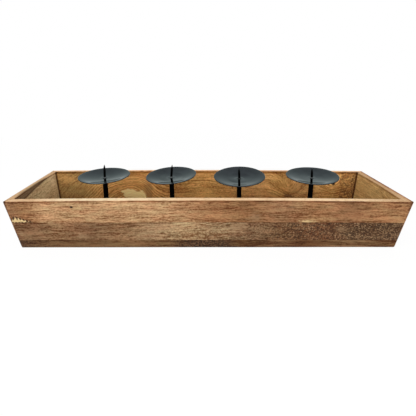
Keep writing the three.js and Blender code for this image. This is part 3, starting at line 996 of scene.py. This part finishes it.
def dishProfile():
    # Out along the underside, round the rim on a half circle and back down the bowl. The bowl leaves
    # the flat middle at a slight crease; its slope grows with the radius, as on a sphere, and eases
    # off towards the rim. Heights are the running sum of the slope, scaled to the depth.
    edge = dish["thickness"] / 2
    rimCentre = dish["radius"] - edge
    r = np.linspace(dish["land"], rimCentre, dish["bowlSteps"] + 1)
    nearRim = np.clip((r - rimCentre + dish["lipWidth"]) / dish["lipWidth"], 0, 1)
    slope = r * (1 - (1 - dish["lipShare"]) * nearRim ** 2 * (3 - 2 * nearRim))
    rise = np.concatenate([[0], np.cumsum((slope[1:] + slope[:-1]) / 2)])
    rise *= dish["depth"] / rise[-1]
    flat = np.linspace(dish["hole"], dish["land"] - 0.0003, 5)
    turn = np.linspace(-math.pi / 2, math.pi / 2, 9)[1:-1]
    below = np.stack([r, rise - dish["thickness"]], -1)
    rim = np.stack([rimCentre + edge * np.cos(turn), dish["depth"] - edge + edge * np.sin(turn)], -1)
    bowl = np.stack([r, rise], -1)[::-1]
    under = np.stack([flat, 0 * flat - dish["thickness"]], -1)
    top = np.stack([flat, 0 * flat], -1)[::-1]
    return np.concatenate([under, below, rim, bowl, top])


def pressedShape(seed, slope, size):
    # A pressed dish is never quite true: outside its flat middle it is a little wider or narrower
    # than its neighbours and slopes, and its rim rises and falls by a hair in two and three waves.
    def shape(points):
        angle = np.arctan2(points[..., 1], points[..., 0])
        reach = np.hypot(points[..., 0], points[..., 1])
        waves = np.sin(2 * angle + seed) + 0.6 * np.sin(3 * angle + 2 * seed)
        points[..., 2] += dish["warp"] * (reach / dish["radius"]) ** 2 * waves
        free = np.clip((reach - dish["land"]) / (0.3 * dish["radius"]), 0, 1)
        points[..., 2] += free * (slope[0] * points[..., 0] + slope[1] * points[..., 1])
        points[..., :2] *= (1 + free * (size - 1))[..., None]
        return points
    return shape


def leaning(footShift, topShift, length):
    # a bar moved along X by one amount at its foot and another at its top, in proportion between
    def shape(points):
        points[..., 0] += footShift + (topShift - footShift) * np.clip(points[..., 2] / length, 0, 1)
        return points
    return shape


def postProfile(height):
    # up the outside, both ends eased alike, with a blind bore into each end
    radius, ease, foot, top = post["radius"], post["ease"], post["footBore"], post["topBore"]
    lower = [(radius - ease, 0), (radius - 0.3 * ease, 0.3 * ease), (radius, ease), (radius, 2 * ease)]
    upper = [(across, height - up) for across, up in lower[::-1]]
    topEnd = height - post["topDepth"]
    return [(0, post["footDepth"]), (foot, post["footDepth"]), (foot, 0), *lower, (radius, height / 2),
            *upper, (top, height), (top, topEnd), (0, topEnd)]


def spikeProfile(length):
    # tail, shoulder with eased edges, a small fillet, a straight pin, and a point that narrows on a
    # slightly full curve to a rounded tip
    tail = -dish["thickness"] - spike["tailReach"]
    shoulder, thick, radius, tip = spike["shoulder"], spike["shoulderHeight"], spike["radius"], spike["tip"]
    pointFrom = length - spike["point"]
    foot = [(0, tail), (spike["tail"] - 0.0003, tail), (spike["tail"], tail + 0.0003), (spike["tail"], 0),
            (shoulder - 0.0001, 0), (shoulder, 0.0001), (shoulder, thick - 0.0002),
            (shoulder - 0.0001, thick - 0.00005), (shoulder - 0.0003, thick), (radius + 0.0005, thick),
            (radius + 0.00015, thick * 1.15)]
    straight = np.concatenate([np.linspace(thick * 1.5, 0.0020, 5), np.linspace(0.0024, pointFrom, 6)])
    pin = np.stack([0 * straight + radius, straight], -1)
    t = np.linspace(0, 1, 10)[1:]
    narrow = radius + (tip - radius) * t + 0.00012 * np.sin(math.pi * t)
    point = np.stack([narrow, pointFrom + (spike["point"] - tip) * t], -1)
    return np.concatenate([foot, pin, point, [(tip * 0.6, length - 0.00006), (0, length)]])


def addBareGlintFoot(pin, land, top):
    # how pale each point is, as bare metal and painted highlight: 1 on the shoulder, fading to 0 a short way
    # up the pin
    height = pointsOf(pin.data)[:, 2] - land
    giveNumber(pin, "bare", np.clip((top - height) / 0.0004, 0, 1) * (height > -0.0003))


lacquer, black, zinc = dishMaterial(), blackMaterial(), zincMaterial()
for number in range(1, 5):
    k = number - 1
    postLow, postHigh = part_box(f"post_{number}")
    x, y = (postLow.x + postHigh.x) / 2, (postLow.y + postHigh.y) / 2
    height = postHigh.z - postLow.z + dish["lifts"][k]
    land = postHigh.z + dish["lifts"][k] + dish["thickness"]
    bar = revolve(f"post_{number}_bar", postProfile(height), (x, y, postLow.z), 48, black,
                  leaning(post["footShifts"][k], dish["shifts"][k], height))
    standFor(bar, f"post_{number}")
    bowl = revolve(f"dish_{number}_bowl", dishProfile(), (x + dish["shifts"][k], y, land), 160, lacquer,
                   pressedShape(1.7 * number, dish["slopes"][k], dish["sizes"][k]), closed=True)
    standFor(bowl, f"dish_{number}")
    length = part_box(f"spike_{number}")[1].z - land
    pin = revolve(f"spike_{number}_pin", spikeProfile(length), (x, y, land), 40, black,
                  leaning(dish["shifts"][k], spike["tips"][k], length))
    # the pale foot of each pin: bare metal and a painted highlight
    addBareGlintFoot(pin, land, spike["bareTo"][k])
    standFor(pin, f"spike_{number}")
    screw = easedCopy(f"screw_{number}", f"screw_{number}_head", zinc, 0.00012)
    standFor(screw, f"screw_{number}")
print("holders made")


# Floor, light and camera

studio = {"keyPlace": (-0.35, -1.00, 1.55), "keySize": (2.2, 1.4), "keyPower": 11.0,
          "fillPlace": (0.10, -2.15, 0.72), "fillSize": (4.6, 0.8), "fillPower": 36.5, "worldStrength": 0.53,
          "lampsAimAt": (0.0, 0.0, 0.05), "floorBounce": 0.50, "floorGlow": 0.93, "floorShade": 0.09,
          "shadowReach": (0.45, 1.10), "floorHalf": 6.0}
pureWhite = (1.0, 1.0, 1.0, 1.0)


def seenDirectly(tree):
    # 1 for what the camera, a mirror or a glass sees, 0 for light that bounces
    rays = put(tree, "LightPath").outputs
    seen = calc(tree, "MAXIMUM", rays["Is Camera Ray"], rays["Is Glossy Ray"])
    return calc(tree, "MAXIMUM", seen, rays["Is Transmission Ray"])


def addFloor():
    # Where it is seen: a glow just short of white plus a weak matt part that makes it up to white
    # and keeps the shadow; far from the tray the glow alone is white. Other light finds plain matt.
    points = studio["floorHalf"] * np.array([[-1, -1, 0], [1, -1, 0], [1, 1, 0], [-1, 1, 0]])
    material = bpy.data.materials.new("floor_white")
    tree = emptyTree(material)
    seen = seenDirectly(tree)
    away = vectorMath(tree, "LENGTH", put(tree, "TexCoord").outputs["Object"])
    shade = fade(tree, away, *studio["shadowReach"], studio["floorShade"], 0.0)
    light = fade(tree, away, *studio["shadowReach"], studio["floorGlow"], 1.0)
    bounce = studio["floorBounce"]
    white = calc(tree, "MULTIPLY_ADD", seen, less(tree, shade, bounce), bounce)
    matt = put(tree, "BsdfDiffuse", {"Color": white})
    glow = put(tree, "Emission", {"Color": pureWhite, "Strength": times(tree, seen, light)})
    both = put(tree, "AddShader", {0: matt.outputs[0], 1: glow.outputs[0]})
    put(tree, "OutputMaterial", {"Surface": both.outputs[0]})
    addMesh("floor", points, [[0, 1, 2, 3]], material, sharp=True)


def setWorld():
    # white where it is seen, and a dimmer white as a light
    world = bpy.data.worlds.new("studio")
    bpy.context.scene.world = world
    tree = emptyTree(world)
    light = put(tree, "Background", {"Color": pureWhite, "Strength": studio["worldStrength"]})
    seen = put(tree, "Background", {"Color": pureWhite, "Strength": 1.0})
    mixed = put(tree, "MixShader", {0: seenDirectly(tree), 1: light.outputs[0], 2: seen.outputs[0]})
    put(tree, "OutputWorld", {"Surface": mixed.outputs[0]})


def addSoftbox(name, place, size, power):
    # a flat rectangular lamp, turned to the tray
    light = bpy.data.lights.new(name, "AREA")
    light.shape = "RECTANGLE"
    light.size, light.size_y = size
    light.energy = power
    lamp = newObject(name, light)
    lamp.location = place
    aim = Vector(studio["lampsAimAt"]) - Vector(place)
    lamp.rotation_euler = aim.to_track_quat("-Z", "Y").to_euler()
    lamp.visible_glossy = False  # the lacquered dishes mirror the white room, not a brighter lamp


# Fitted to the rim, foot, dishes and posts of the photo: a close, wide view, nearly square on
camera = {"place": (-0.006573, -0.468616, 0.259583), "yaw": -0.009499, "pitch": 0.230406, "roll": 0.004396,
          "focalPixels": 292.840, "middleRow": 145.220, "imageSide": 416}


def addCamera():
    # yaw turns it to the left, pitch points it down and roll turns it on its own axis
    data = bpy.data.cameras.new("camera")
    data.sensor_width = 36.0
    data.lens = camera["focalPixels"] * data.sensor_width / camera["imageSide"]
    data.shift_y = (camera["middleRow"] - camera["imageSide"] / 2) / camera["imageSide"]
    data.clip_start, data.clip_end = 0.01, 50.0
    eye = newObject("camera", data)
    turned = Matrix.Rotation(camera["yaw"], 4, "Z") @ Matrix.Rotation(math.pi / 2 - camera["pitch"], 4, "X")
    turned = turned @ Matrix.Rotation(camera["roll"], 4, "Z")
    eye.matrix_world = Matrix.Translation(camera["place"]) @ turned
    bpy.context.scene.camera = eye


addFloor()
setWorld()
addSoftbox("key_softbox", studio["keyPlace"], studio["keySize"], studio["keyPower"])
addSoftbox("fill_softbox", studio["fillPlace"], studio["fillSize"], studio["fillPower"])
addCamera()
bpy.context.scene.view_settings.view_transform = "Standard"
print("studio made")
